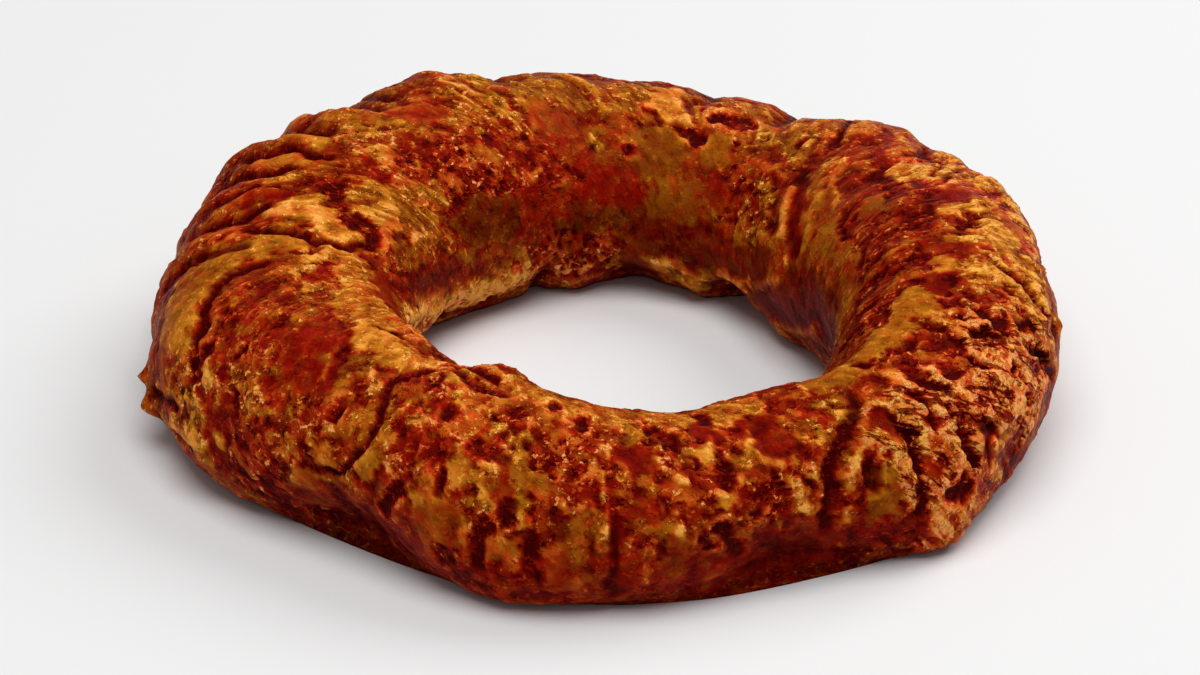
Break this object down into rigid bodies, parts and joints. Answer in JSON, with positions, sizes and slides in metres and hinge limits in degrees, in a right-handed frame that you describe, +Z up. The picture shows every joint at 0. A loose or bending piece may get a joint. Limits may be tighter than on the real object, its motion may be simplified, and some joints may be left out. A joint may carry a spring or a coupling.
{
  "type": "simit",
  "caption": "Ring of baked bread with a twisted, blistered, glossy dark crust and a flat tray-baked base, to lie on a board, plate or tray.",
  "frame": {"origin": "middle of the ring's bounding box in X and Y, at the level of the surface that it lies on", "axes": "+Z up out of the surface, +X across the ring through its widest, tallest side, +Y to its back"},
  "size_m": [0.1414, 0.1376, 0.0332],
  "materials": {
    "crust": "glazed, dark-baked bread crust"
  },
  "bodies": {
    "root": {"simit": "crust"}
  },
  "joints": []
}
